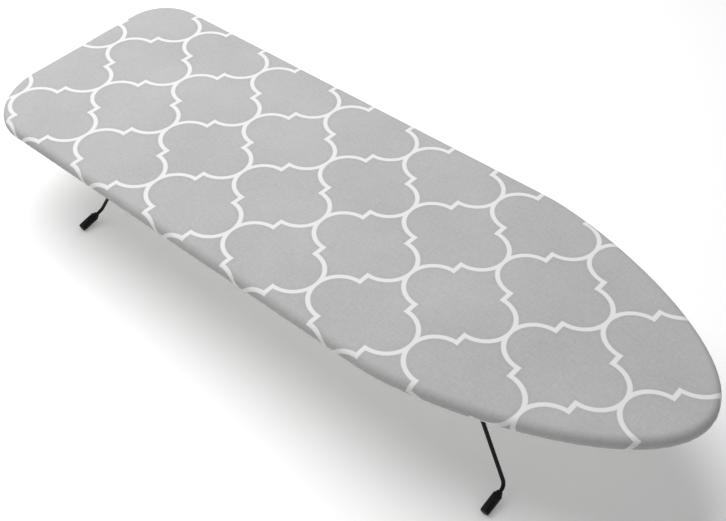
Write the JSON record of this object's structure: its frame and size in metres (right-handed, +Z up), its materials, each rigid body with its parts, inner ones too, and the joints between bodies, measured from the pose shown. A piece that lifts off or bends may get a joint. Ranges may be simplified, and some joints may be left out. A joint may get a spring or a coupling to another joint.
{
  "type": "ironing board",
  "caption": "Tabletop ironing board with a padded, trellis-patterned cotton cover over a vented steel top, standing on folding black wire legs with capped feet.",
  "frame": {"origin": "on the table, under the middle of the board's bounding box, with the legs open", "axes": "+X along the board towards its nose, +Y across it to the far side, +Z up from the table"},
  "size_m": [0.913, 0.316, 0.145],
  "materials": {
    "printed_cotton": "matt woven cotton, grey with a pale trellis print",
    "foam": "matt open foam",
    "elastic": "matt braided elastic",
    "white_steel": "satin powder coat",
    "zinc_rivet": "zinc plated",
    "black_wire": "satin black coat",
    "black_cap": "matt moulded",
    "white_nylon": "matt moulded"
  },
  "bodies": {
    "board": {"board_cover": "printed_cotton", "foam_pad": "foam", "hem_elastic": "elastic", "steel_top_sheet": "white_steel", "rim_tube": "white_steel", "nose_leg_channel": "white_steel", "nose_clip_brace": "white_steel", "nose_near_leg_bracket": "white_steel", "nose_near_storage_clip": "white_nylon", "nose_near_bracket_rivet_1": "zinc_rivet", "nose_near_bracket_rivet_2": "zinc_rivet", "nose_near_clip_rivet": "zinc_rivet", "nose_far_leg_bracket": "white_steel", "nose_far_storage_clip": "white_nylon", "nose_far_bracket_rivet_1": "zinc_rivet", "nose_far_bracket_rivet_2": "zinc_rivet", "nose_far_clip_rivet": "zinc_rivet", "tail_leg_channel": "white_steel", "tail_clip_brace": "white_steel", "tail_near_leg_bracket": "white_steel", "tail_near_storage_clip": "white_nylon", "tail_near_bracket_rivet_1": "zinc_rivet", "tail_near_bracket_rivet_2": "zinc_rivet", "tail_near_clip_rivet": "zinc_rivet", "tail_far_leg_bracket": "white_steel", "tail_far_storage_clip": "white_nylon", "tail_far_bracket_rivet_1": "zinc_rivet", "tail_far_bracket_rivet_2": "zinc_rivet", "tail_far_clip_rivet": "zinc_rivet"},
    "nose_leg": {"nose_leg_wire": "black_wire", "nose_near_foot_cap": "black_cap", "nose_far_foot_cap": "black_cap"},
    "tail_leg": {"tail_leg_wire": "black_wire", "tail_near_foot_cap": "black_cap", "tail_far_foot_cap": "black_cap"}
  },
  "joints": [
    {"name": "nose_leg_fold", "type": "hinge", "parent": "board", "child": "nose_leg", "pos_m": [0.2518, 0, 0.1195], "axis": [0, 1, 0], "range_deg": [0, 119]},
    {"name": "tail_leg_fold", "type": "hinge", "parent": "board", "child": "tail_leg", "pos_m": [-0.2448, 0, 0.1195], "axis": [0, -1, 0], "range_deg": [0, 119]}
  ]
}
